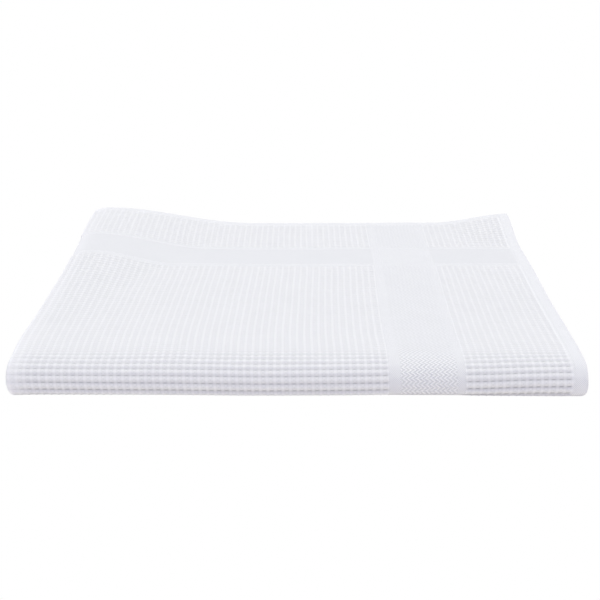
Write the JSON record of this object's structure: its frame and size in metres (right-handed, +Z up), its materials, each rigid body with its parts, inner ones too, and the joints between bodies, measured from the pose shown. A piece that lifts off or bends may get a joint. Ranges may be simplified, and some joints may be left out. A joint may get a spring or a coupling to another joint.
{
  "type": "folded glass cloth",
  "caption": "White cotton waffle-weave glass cloth with flat woven bands and narrow hems, folded in half and then in thirds into a flat square pad.",
  "frame": {"origin": "on the surface that the pad rests on, under the middle of the pad", "axes": "+Z up through the plies, -Y towards the rolled front fold, +X towards the side hems"},
  "size_m": [0.2514, 0.2476, 0.0266],
  "materials": {
    "cotton": "matt white waffle-weave cotton"
  },
  "bodies": {
    "root": {"cloth": "cotton"}
  },
  "joints": []
}
